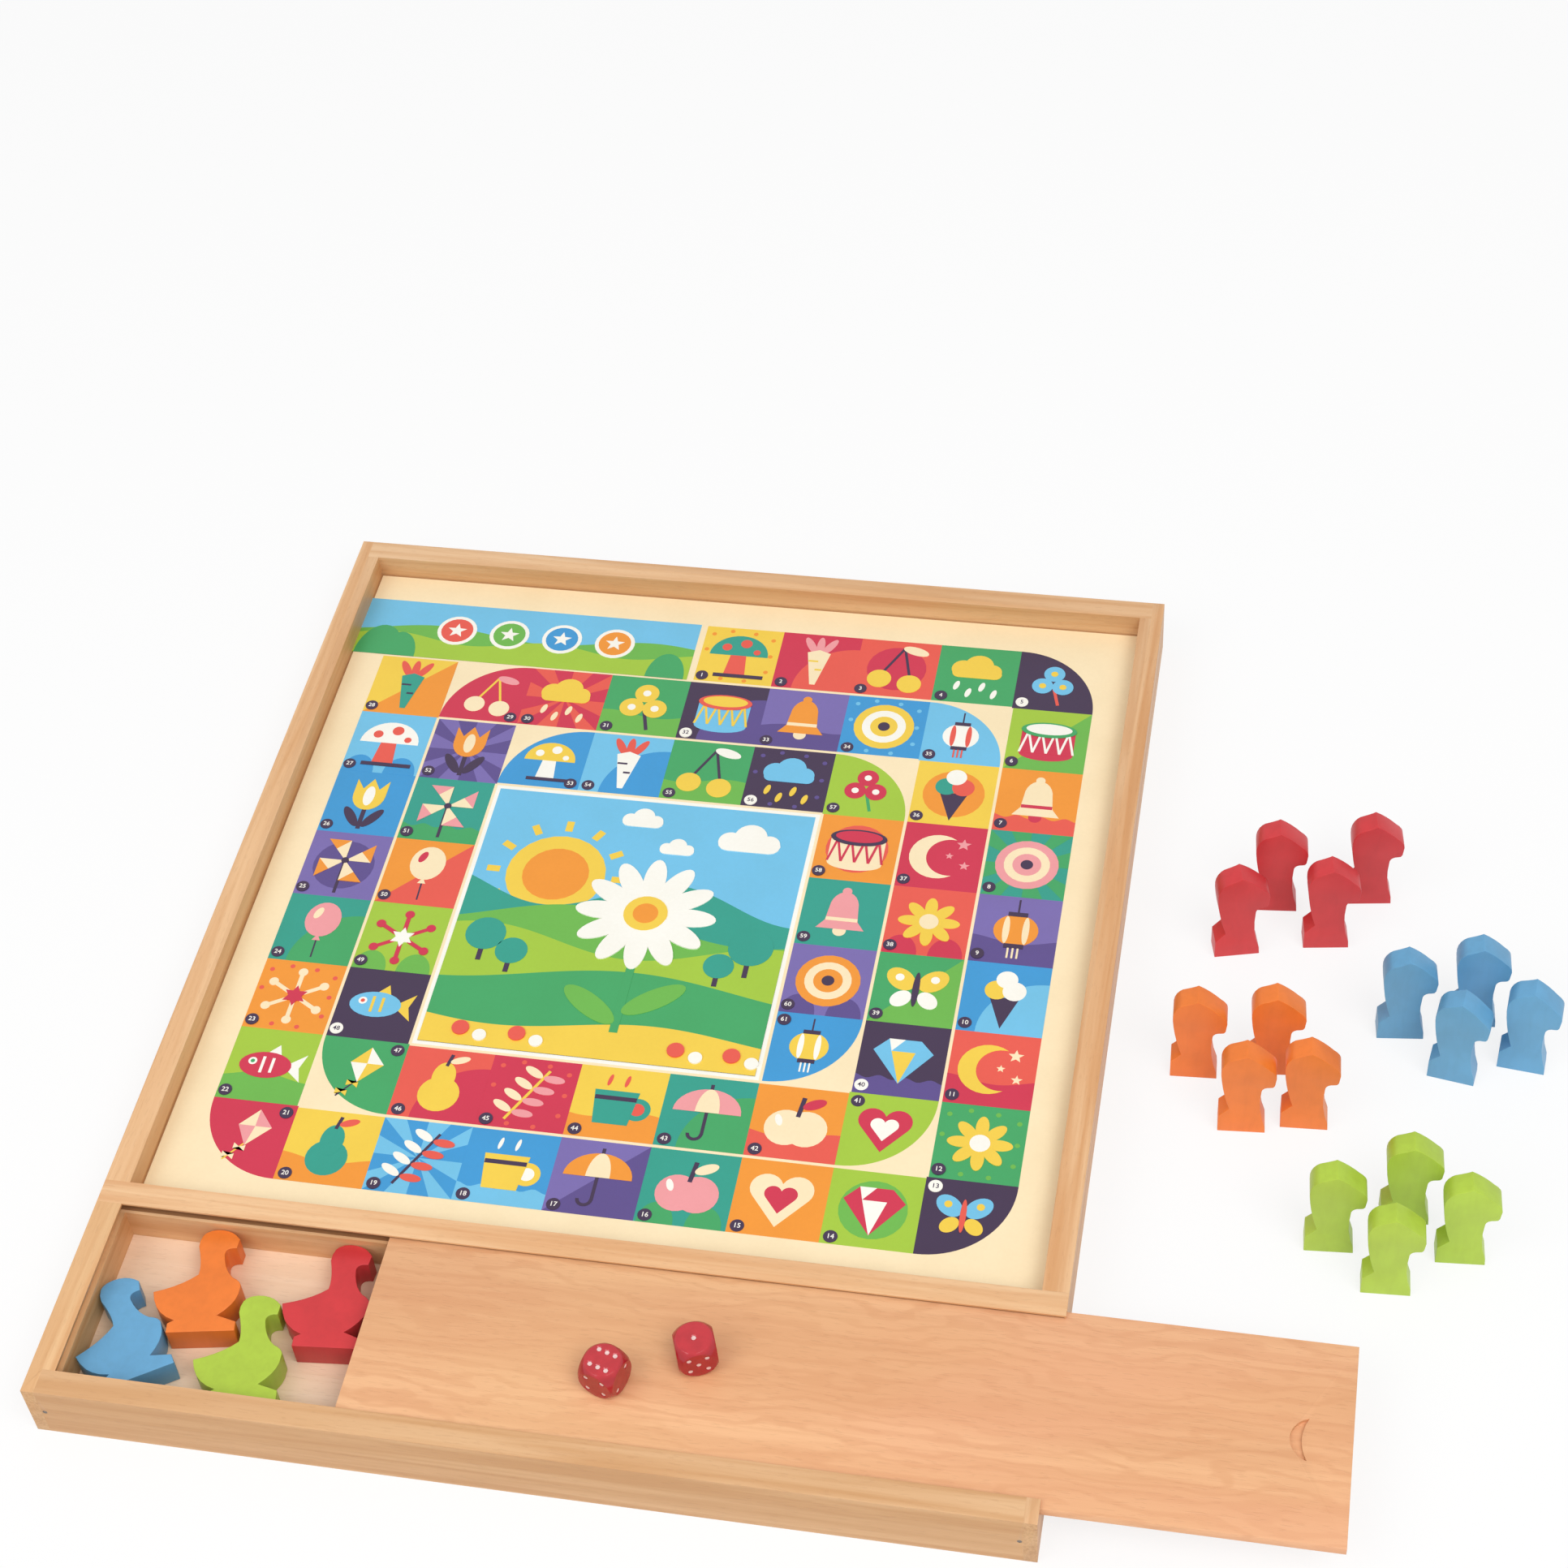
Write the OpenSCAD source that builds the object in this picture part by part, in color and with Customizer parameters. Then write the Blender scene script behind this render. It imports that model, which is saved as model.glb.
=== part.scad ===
// Games compendium box: a double-sided game board in a beech frame, with a tray under a sliding lid.
// The tray holds four flat geese. Sixteen horses stand beside the box and two dice lie on the lid.
// Frame: origin under the middle of the divider rail, X along the lid's slide, Y to the back, Z up.

/* [Frame] */
// Width of the box, along the lid's slide
box_w = 280; // [240:1:340]
// Length of the game board's opening, front to back
board_l = 266.5; // [230:0.5:320]
// Height of the rails
box_h = 20; // [19:0.5:26]
// Thickness of every rail
rail_t = 7.5; // [7:0.25:10]
// Thickness of the side rails' lips that cover the ends of the front and back rails
lip_t = 3.75; // [2:0.25:4]

/* [Game board] */
// Thickness of the board
board_t = 3; // [2:0.25:4]
// Depth of the grooves that hold the board
board_groove = 3; // [2:0.25:4]
// Thickness of the printed sheets on the board
sheet_t = 0.3; // [0.2:0.05:0.6]
// Gap between a printed sheet and the rails round it
sheet_gap = 0.5; // [0.2:0.1:2]

/* [Tray] */
// Width of the tray between the front rail and the divider
tray_w = 56; // [56:0.5:80]
// Thickness of the tray's floor
floor_t = 3; // [2:0.25:3.5]
// Height of the floor's underside above the table
floor_rise = 1.3; // [1:0.1:2]
// Depth of the grooves that hold the floor
floor_groove = 3; // [2:0.25:4]

/* [Lid] */
// Length of the sliding lid
lid_l = 271; // [230:1:330]
// Thickness of the lid
lid_t = 3; // [2:0.25:3.5]
// Drop from the rails' top faces to the lid's top face
lid_drop = 1.2; // [1:0.1:1.6]
// Depth of the lid's grooves in the front rail and the divider
lid_groove = 2.5; // [2:0.25:3]
// Depth of the groove in the left rail that takes the closed lid's end
lid_end_groove = 1.5; // [1:0.25:3]
// Clearance round the lid in its grooves
lid_play = 0.3; // [0.2:0.05:0.5]
// How far the lid is drawn out
lid_out = 81.4; // [0:0.1:180]

/* [Thumb notch] */
// Distance of the notch from the lid's end
notch_in = 9.9; // [9:0.1:25]
// Radius of the notch's outer arc
notch_outer_r = 6.6; // [5:0.1:8]
// Radius of the notch's inner arc
notch_inner_r = 13; // [9.2:0.1:16]
// Width of the crescent at its middle
notch_w = 3.1; // [1.5:0.1:4]
// Depth of the notch
notch_depth = 1.2; // [0.6:0.1:1.6]

/* [Joinery] */
// Diameter of the corner brads
brad_d = 1.4; // [1:0.1:2]
// Length of the corner brads
brad_l = 18; // [14:0.5:24]
// Distance of the brads from the box's sides
brad_in = 4.7; // [4.6:0.1:6]
// Distance of the back brads above and below the board's middle
brad_split = 5; // [4:0.25:6]
// Diameter of the dowels through the divider's ends
dowel_d = 3; // [2:0.25:3.5]
// Length of the dowels
dowel_l = 20; // [14:0.5:30]
// Gap between the dowels and the board's underside
dowel_gap = 0.5; // [0.2:0.1:0.8]

/* [Geese] */
// Height of a goose from its foot to the top of its head
goose_h = 34; // [28:0.5:34.5]
// Length of a goose's foot
goose_foot_l = 19.5; // [17:0.5:20]
// Height of a goose's foot
goose_foot_h = 3; // [2:0.25:4]
// Reach of the beak in front of the foot's middle
goose_beak = 7.4; // [6:0.2:8]
// Reach of the tail behind the foot's middle
goose_tail = 15.2; // [13:0.1:16]
// Thickness of a goose
goose_t = 8.5; // [5:0.25:9]

/* [Horses] */
// Height of a horse
horse_h = 35.5; // [28:0.5:40]
// Length of a horse's foot
horse_foot_l = 13.8; // [12:0.2:16]
// Reach of the back of a horse's head behind the foot's middle
horse_back = 6.8; // [5:0.1:7.4]
// Reach of the nose in front of the foot's middle
horse_nose = 9; // [7.6:0.2:11]
// Thickness of a horse
horse_t = 6.5; // [6:0.25:9]

/* [Dice] */
// Size of a die across its faces
die_size = 11; // [9:0.25:11.2]
// Diameter of the sphere that rounds a die's corners
die_round = 14.8; // [14.5:0.1:17]
// Diameter of a pip
pip_d = 1.9; // [1.2:0.1:2.2]
// Depth of a pip
pip_depth = 0.35; // [0.2:0.05:0.5]
// Distance between the outer pips on a face
pip_span = 5; // [4:0.25:5.5]

/* [Hidden] */
$fn = 48;

wood = [0.88, 0.68, 0.48];
ply = [0.86, 0.66, 0.47];
paper = [0.97, 0.88, 0.68];
steel = [0.6, 0.6, 0.62];
red = [0.80, 0.16, 0.18];
blue = [0.36, 0.61, 0.80];
orange = [0.91, 0.43, 0.14];
green = [0.62, 0.74, 0.20];

cut = 1;              // how far a cut runs past a face
seat = 0.2;           // gap under a loose piece

// Plan of the frame
half_w = box_w / 2;
inner_w = half_w - rail_t;
div_front = -rail_t / 2;
div_back = rail_t / 2;
tray_front = div_front - tray_w;
front_y = tray_front - rail_t;
board_back = div_back + board_l;
back_y = board_back + rail_t;

// Heights
board_z = (box_h - board_t) / 2;
board_top = board_z + board_t;
floor_top = floor_rise + floor_t;
lid_top = box_h - lid_drop;
lid_z = lid_top - lid_t;
slot_z = lid_z - lid_play;
slot_h = lid_t + 2 * lid_play;
dowel_z = board_z - dowel_gap - dowel_d / 2;

// The lid's slot and the closed lid's left end
slot_left = -inner_w - lid_end_groove;
closed_left = slot_left + lid_play;
lid_left = closed_left + lid_out;
lid_front = tray_front - lid_groove + lid_play;
lid_back = div_front + lid_groove - lid_play;
tray_mid = (tray_front + div_front) / 2;

// A block between two corners
module block(low, high) {
  translate(low) cube(high - low);
}

// The space that the game board's edge takes in the rails
module board_space() {
  block([-inner_w - board_groove, div_back - board_groove, board_z],
        [inner_w + board_groove, board_back + board_groove, board_top]);
}

// The space that the tray's floor takes in the rails
module floor_space() {
  block([-inner_w - floor_groove, tray_front - floor_groove, floor_rise],
        [inner_w + floor_groove, div_front + floor_groove, floor_top]);
}

// The space that the lid slides in, open at the box's right side
module lid_slot() {
  block([slot_left, tray_front - lid_groove, slot_z],
        [half_w + cut, div_front + lid_groove, slot_z + slot_h]);
}

// One brad lying along Y, its head end at y and its point towards dir
module brad(x, y, z, dir) {
  translate([x, y, z]) rotate([-90 * dir, 0, 0]) cylinder(d = brad_d, h = brad_l);
}

module brads() {
  for (side = [-1, 1]) {
    brad(side * (half_w - brad_in), front_y, box_h / 2, 1);
    for (step = [-1, 1])
      brad(side * (half_w - brad_in), back_y, box_h / 2 + step * brad_split, -1);
  }
}

module dowels() {
  for (side = [-1, 1])
    translate([side * (half_w - rail_t / 2), dowel_l / 2, dowel_z])
      rotate([90, 0, 0]) cylinder(d = dowel_d, h = dowel_l);
}

// A long side rail, from the divider to the back, with a lip over the back rail's end
module long_rail(side) {
  difference() {
    mirror([side < 0 ? 1 : 0, 0, 0]) {
      block([inner_w, div_back, 0], [half_w, board_back, box_h]);
      block([half_w - lip_t, board_back, 0], [half_w, back_y, box_h]);
    }
    board_space();
    brads();
    dowels();
  }
}

module left_rail() color(wood) long_rail(-1);
module right_rail() color(wood) long_rail(1);

module back_rail() color(wood) difference() {
  block([lip_t - half_w, board_back, 0], [half_w - lip_t, back_y, box_h]);
  board_space();
  brads();
}

module front_rail() color(wood) difference() {
  block([lip_t - half_w, front_y, 0], [half_w - lip_t, tray_front, box_h]);
  floor_space();
  lid_slot();
  brads();
}

module divider_rail() color(wood) difference() {
  block([-half_w, div_front, 0], [half_w, div_back, box_h]);
  board_space();
  floor_space();
  lid_slot();
  dowels();
}

module tray_left_rail() color(wood) difference() {
  union() {
    block([-half_w, tray_front, 0], [-inner_w, div_front, box_h]);
    block([-half_w, front_y, 0], [lip_t - half_w, tray_front, box_h]);
  }
  floor_space();
  lid_slot();
  brads();
  dowels();
}

// Lower than the other rails, so that the lid slides out over it
module tray_right_rail() color(wood) difference() {
  union() {
    block([inner_w, tray_front, 0], [half_w, div_front, slot_z]);
    block([half_w - lip_t, front_y, 0], [half_w, tray_front, box_h]);
  }
  floor_space();
  lid_slot();
  brads();
  dowels();
}

module game_board() color(ply) board_space();

// A printed sheet over the board's opening, with its lower face at z
module printed_sheet(z) {
  block([sheet_gap - inner_w, div_back + sheet_gap, z],
        [inner_w - sheet_gap, board_back - sheet_gap, z + sheet_t]);
}

module spiral_sheet() color(paper) printed_sheet(board_top);
module cross_sheet() color(paper) printed_sheet(board_z - sheet_t);

module tray_floor() color(ply) floor_space();

// The crescent cut that a thumbnail draws the lid by
module thumb_notch() {
  translate([lid_left + lid_l - notch_in, tray_mid, lid_top - notch_depth])
    difference() {
      cylinder(r = notch_outer_r, h = notch_depth + cut);
      translate([notch_inner_r - notch_outer_r + notch_w, 0, -cut])
        cylinder(r = notch_inner_r, h = notch_depth + 3 * cut);
    }
}

module sliding_lid() color(ply) difference() {
  block([lid_left, lid_front, lid_z], [lid_left + lid_l, lid_back, lid_top]);
  thumb_notch();
}

module corner_brads() color(steel) brads();

module divider_dowels() color(wood) dowels();

// Points of a curve from a to c that bends towards b, without a itself
function bend(a, b, c, steps = 5) =
  [for (i = [1 : steps]) let (t = i / steps) (1 - t) * (1 - t) * a + 2 * t * (1 - t) * b + t * t * c];

// The goose's outline, foot on the X axis, beak to the right
goose_half = goose_foot_l / 2;
goose_heel = [1.8 - goose_half, goose_foot_h + 1];
goose_rump = [-goose_tail, 0.4 * goose_h];
goose_nape = [-3, 0.56 * goose_h];
goose_poll = [-4.2, 0.84 * goose_h];
goose_crown = [0.6, goose_h];
goose_brow = [goose_beak, 0.9 * goose_h];
goose_chin = [goose_beak - 0.5, 0.81 * goose_h];
goose_throat = [3.7, 0.75 * goose_h];
goose_collar = [7, 0.52 * goose_h];
goose_breast = [goose_half - 0.2, 0.4 * goose_h];
goose_toe = [goose_half - 5.6, goose_foot_h + 2.2];

goose_outline = concat(
  [[-goose_half, 0], [-goose_half, goose_foot_h], goose_heel],
  bend(goose_heel, [1 - goose_tail, goose_foot_h + 3.2], goose_rump),
  bend(goose_rump, [-goose_tail / 2, 0.45 * goose_h], goose_nape),
  bend(goose_nape, [-2.4, 0.66 * goose_h], goose_poll),
  bend(goose_poll, [-4.4, goose_h], goose_crown),
  bend(goose_crown, [5, goose_h], goose_brow),
  [goose_chin],
  bend(goose_chin, [3.6, 0.82 * goose_h], goose_throat),
  bend(goose_throat, [4.2, 0.6 * goose_h], goose_collar),
  bend(goose_collar, [goose_half + 0.6, 0.47 * goose_h], goose_breast),
  bend(goose_breast, [goose_half - 0.2, 0.27 * goose_h], goose_toe),
  [[goose_half, goose_foot_h], [goose_half, 0]]
);

// A goose lying on the tray's floor, its foot's middle at spot and turned by angle
module goose(spot, angle) {
  translate([spot.x, spot.y, floor_top + seat])
    rotate([0, 0, angle]) linear_extrude(goose_t) polygon(goose_outline);
}

// The rows in which the geese lie, one by the front rail and one by the divider
low_row = tray_front + 2.4;
high_row = div_front - goose_h;

// Each goose's step to the right past the room for its tail, its step from its row, and its turn
blue_step = [5.9, 3.5, 33];
orange_step = [-3, -0.1, 10];
green_step = [3.1, -0.3, 10];
red_step = [3.4, -0.1, 5];

blue_x = -inner_w + goose_tail + blue_step.x;
orange_x = blue_x + goose_tail + orange_step.x;
green_x = orange_x + goose_tail + green_step.x;
red_x = green_x + goose_tail + red_step.x;

module goose_blue() color(blue) goose([blue_x, low_row + blue_step.y], blue_step.z);
module goose_orange() color(orange) goose([orange_x, high_row + orange_step.y], orange_step.z);
module goose_green() color(green) goose([green_x, low_row + green_step.y], green_step.z);
module goose_red() color(red) goose([red_x, high_row + red_step.y], red_step.z);

// The horse's outline, foot on the X axis, nose to the right
horse_half = horse_foot_l / 2;
horse_croup = [-horse_half, 0.2 * horse_h];
horse_notch = [3 - horse_half, 0.3 * horse_h];
horse_mane = [-horse_back, 0.74 * horse_h];
horse_poll = [2.6 - horse_back, 0.94 * horse_h];
horse_tip = [0.2, horse_h];
horse_brow = [horse_nose - 2.2, 0.84 * horse_h];
horse_muzzle = [horse_nose, 0.73 * horse_h];
horse_lip = [horse_nose - 0.2, 0.66 * horse_h];
horse_chin = [horse_nose - 1.6, 0.61 * horse_h];
horse_throat = [horse_half - 1.9, 0.56 * horse_h];
horse_toe = [horse_half - 0.2, 0.08 * horse_h];

horse_outline = concat(
  [[-horse_half, 0], horse_croup, horse_notch],
  bend(horse_notch, [0.6 - horse_back, 0.52 * horse_h], horse_mane),
  bend(horse_mane, [-horse_back - 0.4, 0.88 * horse_h], horse_poll),
  bend(horse_poll, [-0.6, 0.98 * horse_h], horse_tip, 3),
  bend(horse_tip, [3.6, 0.945 * horse_h], horse_brow, 4),
  bend(horse_brow, [horse_nose, 0.79 * horse_h], horse_muzzle, 4),
  bend(horse_lip, [horse_nose - 0.3, 0.61 * horse_h], horse_chin, 4),
  bend(horse_chin, [horse_half - 1.5, 0.61 * horse_h], horse_throat, 4),
  bend(horse_throat, [horse_half - 2.8, 0.3 * horse_h], horse_toe, 4),
  [[horse_half, 0]]
);

// A horse standing on the table, its foot's middle at place and turned by its third value
module horse(place) {
  translate([half_w + place.x, front_y + place.y, 0]) rotate([90, 0, place.z])
    translate([0, 0, -horse_t / 2]) linear_extrude(horse_t) polygon(horse_outline);
}

// Where each set stands: offsets from the box's right side and the front rail, and the turn
red_places = [[34.5, 216, 14], [45, 235.5, 5], [61.5, 222.5, 8], [73.5, 242, 8]];
blue_places = [[85.5, 190, 6], [106.5, 197.5, 4], [101.5, 176, -9], [121.5, 182.5, -6]];
orange_places = [[26, 167.5, 3], [48.5, 171.5, 5], [41.5, 149.5, 4], [59.5, 153, 3]];
green_places = [[69, 111, 4], [89.5, 123.5, 4], [85.5, 99, 3], [105.5, 112, 4]];

module red_horse(i) color(red) horse(red_places[i]);
module blue_horse(i) color(blue) horse(blue_places[i]);
module orange_horse(i) color(orange) horse(orange_places[i]);
module green_horse(i) color(green) horse(green_places[i]);

// Pip places on each face, in units of half the pip span
ONE = [[0, 0]];
TWO = [[-1, -1], [1, 1]];
THREE = concat(ONE, TWO);
FOUR = concat(TWO, [[-1, 1], [1, -1]]);
FIVE = concat(ONE, FOUR);
SIX = concat(FOUR, [[-1, 0], [1, 0]]);

// One face's pips, cut into the face that looks up after turning
module pips(places, turn) {
  pip_r = (pip_d * pip_d / 4 + pip_depth * pip_depth) / (2 * pip_depth);
  rotate(turn) for (p = places)
    translate([p.x * pip_span / 2, p.y * pip_span / 2, die_size / 2 - pip_depth + pip_r])
      sphere(r = pip_r);
}

// A die with the given face turned up
module die(spot, angle, up) {
  translate([spot.x, spot.y, lid_top + seat + die_size / 2]) rotate([0, 0, angle]) rotate(up)
    difference() {
      intersection() {
        cube(die_size, center = true);
        sphere(d = die_round);
      }
      pips(SIX, [0, 0, 0]);
      pips(ONE, [180, 0, 0]);
      pips(TWO, [90, 0, 0]);
      pips(FIVE, [-90, 0, 0]);
      pips(THREE, [0, 90, 0]);
      pips(FOUR, [0, -90, 0]);
    }
}

// The dice lie on the lid: offsets from its left end and the tray's middle line
module die_1() color(red) die([lid_left + 71.8, tray_mid - 9.1], 72, [0, 0, 0]);
module die_2() color(red) die([lid_left + 94.8, tray_mid + 1.1], 22, [180, 0, 0]);

left_rail();
right_rail();
back_rail();
front_rail();
divider_rail();
tray_left_rail();
tray_right_rail();
game_board();
spiral_sheet();
cross_sheet();
tray_floor();
sliding_lid();
corner_brads();
divider_dowels();
goose_blue();
goose_orange();
goose_green();
goose_red();
red_horse(0);  // horse_red_1
red_horse(1);  // horse_red_2
red_horse(2);  // horse_red_3
red_horse(3);  // horse_red_4
blue_horse(0);  // horse_blue_1
blue_horse(1);  // horse_blue_2
blue_horse(2);  // horse_blue_3
blue_horse(3);  // horse_blue_4
orange_horse(0);  // horse_orange_1
orange_horse(1);  // horse_orange_2
orange_horse(2);  // horse_orange_3
orange_horse(3);  // horse_orange_4
green_horse(0);  // horse_green_1
green_horse(1);  // horse_green_2
green_horse(2);  // horse_green_3
green_horse(3);  // horse_green_4
die_1();
die_2();
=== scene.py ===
"""Looks of the games compendium box: woods, stains, the two prints, pips, light and camera."""

import math

import bmesh
import bpy
from mathutils import Matrix, Vector


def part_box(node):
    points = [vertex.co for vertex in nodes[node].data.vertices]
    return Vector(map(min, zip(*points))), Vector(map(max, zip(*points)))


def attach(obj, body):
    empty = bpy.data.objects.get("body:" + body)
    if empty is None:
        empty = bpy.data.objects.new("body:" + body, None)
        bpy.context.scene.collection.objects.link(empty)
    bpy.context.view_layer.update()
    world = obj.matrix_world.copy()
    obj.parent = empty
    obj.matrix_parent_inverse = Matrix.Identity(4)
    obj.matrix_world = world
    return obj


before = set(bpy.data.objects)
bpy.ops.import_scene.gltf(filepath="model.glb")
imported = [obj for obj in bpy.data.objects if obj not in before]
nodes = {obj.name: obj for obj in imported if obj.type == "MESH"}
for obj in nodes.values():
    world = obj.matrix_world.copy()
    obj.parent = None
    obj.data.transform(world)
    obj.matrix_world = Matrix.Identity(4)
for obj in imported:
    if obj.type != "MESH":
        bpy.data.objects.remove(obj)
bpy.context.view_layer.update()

MM = 0.001
WHITE = (1, 1, 1, 1)
UP = (0, 0, 1)


def add_object(name, data):
    obj = bpy.data.objects.new(name, data)
    bpy.context.scene.collection.objects.link(obj)
    return obj


def rotation(degrees, axis):
    return Matrix.Rotation(math.radians(degrees), 4, axis)


class Nodes:
    """A node tree, with short calls for the nodes that it needs."""

    def __init__(self, tree):
        self.tree = tree

    def link(self, value, socket):
        """Links an output to the socket, or sets the socket to a fixed value."""
        if isinstance(value, bpy.types.NodeSocket):
            self.tree.links.new(value, socket)
        else:
            socket.default_value = value

    def node(self, kind, inputs=(), **settings):
        """Adds a node with its settings and its inputs, which come in order or by name."""
        made = self.tree.nodes.new(kind)
        for key, value in settings.items():
            setattr(made, key, value)
        for key, value in inputs.items() if isinstance(inputs, dict) else enumerate(inputs):
            self.link(value, made.inputs[key])
        return made

    def maths(self, operation, a, b=0.0):
        return self.node("ShaderNodeMath", (a, b), operation=operation).outputs[0]

    def vectors(self, operation, a, b=(0, 0, 0)):
        return self.node("ShaderNodeVectorMath", (a, b), operation=operation).outputs

    def axes(self, vector):
        return self.node("ShaderNodeSeparateXYZ", (vector,)).outputs

    def seen_directly(self):
        """1 for the camera's own, mirrored and refracted rays, 0 for the rays that light the object."""
        path = self.node("ShaderNodeLightPath").outputs
        mirrored = self.maths("MAXIMUM", path["Is Camera Ray"], path["Is Glossy Ray"])
        return self.maths("MAXIMUM", mirrored, path["Is Transmission Ray"])


# -------- camera, floor and light

CAMERA_PLACE = Vector((188.4, -446.3, 715.3)) * MM
CAMERA_TURN = 14.35
CAMERA_TILT = 42.98
CAMERA_ROLL = -5.42
CAMERA_LENS = 68.23  # in millimetres, like the sensor's width
CAMERA_SENSOR = 36
CAMERA_NEAR = 0.02
WORLD_LIGHT = 0.48
# Each lamp's place, size and power
LAMPS = (("key", (0.9, -0.8, 1.8), 1.2, 22), ("fill", (-0.9, -1.0, 1.6), 1.4, 13.2))
LAMPS_AIM = Vector((0.05, 0.1, 0))
FLOOR_SIZE = 8
FLOOR_WHITE = 0.8  # how much of the floor shows plain white, which leaves the rest for the shadow


def make_camera():
    data = bpy.data.cameras.new("camera")
    data.lens = CAMERA_LENS
    data.sensor_width = CAMERA_SENSOR
    data.clip_start = CAMERA_NEAR
    camera = add_object("camera", data)
    turned = rotation(CAMERA_TURN, "Z") @ rotation(CAMERA_TILT, "X") @ rotation(CAMERA_ROLL, "Z")
    camera.matrix_world = Matrix.Translation(CAMERA_PLACE) @ turned
    bpy.context.scene.camera = camera


def make_lamp(name, place, size, watts):
    data = bpy.data.lights.new(name, "AREA")
    data.size = size
    data.energy = watts
    lamp = add_object(name, data)
    lamp.location = place
    lamp.rotation_euler = (LAMPS_AIM - lamp.location).to_track_quat("-Z", "Y").to_euler()


def make_world():
    world = bpy.data.worlds.new("studio")
    bpy.context.scene.world = world
    world.use_nodes = True
    n = Nodes(world.node_tree)
    ground = n.tree.nodes["Background"]
    n.link(WHITE, ground.inputs["Color"])
    n.link(WORLD_LIGHT, ground.inputs["Strength"])
    white = n.node("ShaderNodeBackground", (WHITE,))
    mix = n.node("ShaderNodeMixShader", (n.seen_directly(), ground.outputs[0], white.outputs[0]))
    n.link(mix.outputs[0], n.tree.nodes["World Output"].inputs["Surface"])


# -------- materials

def linear(code):
    """The linear colour of an sRGB code such as #E3B380."""
    parts = [int(code[i:i + 2], 16) / 255 for i in (1, 3, 5)]
    return [p / 12.92 if p <= 0.04045 else ((p + 0.055) / 1.055) ** 2.4 for p in parts] + [1]


class Shading(Nodes):
    """A material under construction."""

    def __init__(self, name, roughness):
        self.material = bpy.data.materials.new(name)
        self.material.use_nodes = True
        super().__init__(self.material.node_tree)
        self.shader = self.tree.nodes["Principled BSDF"]
        self.shader.inputs["Roughness"].default_value = roughness
        self.place = self.node("ShaderNodeTexCoord").outputs["Object"]

    def stretched(self, scale):
        return self.node("ShaderNodeMapping", {"Vector": self.place, "Scale": scale}).outputs[0]

    def noise(self, vector, scale, detail, distortion=0.0):
        inputs = {"Vector": vector, "Scale": scale, "Detail": detail, "Distortion": distortion}
        return self.node("ShaderNodeTexNoise", inputs).outputs["Fac"]

    def spread(self, value, low, high, top=1.0):
        """Rises smoothly from 0 at low to top at high."""
        inputs = {"Value": value, "From Min": low, "From Max": high, "To Max": top}
        return self.node("ShaderNodeMapRange", inputs, interpolation_type="SMOOTHSTEP").outputs["Result"]

    def mix(self, factor, a, b, blend="MIX"):
        inputs = {"Factor": factor, "A": a, "B": b}
        return self.node("ShaderNodeMix", inputs, data_type="RGBA", blend_type=blend).outputs["Result"]

    def tinted(self, colour, tone):
        """The colour multiplied by a tone."""
        return self.mix(1.0, colour, tone, "MULTIPLY")

    def mottled(self, colour, texture, low, high, tone):
        """The colour, tinted where the texture is high."""
        return self.tinted(colour, self.mix(self.spread(texture, low, high), WHITE, tone))

    def within(self, low, high):
        """1 in the box between two corners of the frame, 0 outside it."""
        place = self.node("ShaderNodeTexCoord").outputs["Object"]
        away = self.vectors("ABSOLUTE", self.vectors("SUBTRACT", place, (low + high) / 2)[0])[0]
        x, y, z = self.axes(self.vectors("SUBTRACT", away, (high - low) / 2)[0])
        return self.maths("LESS_THAN", self.maths("MAXIMUM", self.maths("MAXIMUM", x, y), z), 0.0)

    def facing(self, direction):
        """1 where the surface faces along or against the direction, 0 where it is parallel to it."""
        normal = self.node("ShaderNodeTexCoord").outputs["Normal"]
        dot = self.vectors("DOT_PRODUCT", normal, direction)["Value"]
        return self.spread(self.maths("ABSOLUTE", dot), *FACING)

    def bump(self, height, distance, strength=0.5):
        inputs = {"Strength": strength, "Distance": distance, "Height": height}
        self.link(self.node("ShaderNodeBump", inputs).outputs["Normal"], self.shader.inputs["Normal"])

    def finish(self, colour):
        self.link(colour, self.shader.inputs["Base Color"])
        return self.material


FACING = (0.55, 0.85)  # how squarely a face has to look in a direction, from not at all to fully
WOOD_ROUGHNESS = 0.45
STAIN_ROUGHNESS = 0.42
PAPER_ROUGHNESS = 0.38
STEEL_ROUGHNESS = 0.5
FLOOR_ROUGHNESS = 0.9
GROOVE_SHADE = (0.42, 0.33, 0.26, 1)  # painted shade: the wood's tone in a groove's shadow
SHIFT_WAY = (1, 0.7, 0.3)  # the way in which a piece's step moves its figure


def along(axis, lengthwise, crosswise):
    """A texture scale that is drawn out along one axis, 0 for X and 1 for Y."""
    scale = [crosswise] * 3
    scale[axis] = lengthwise
    return scale


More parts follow.
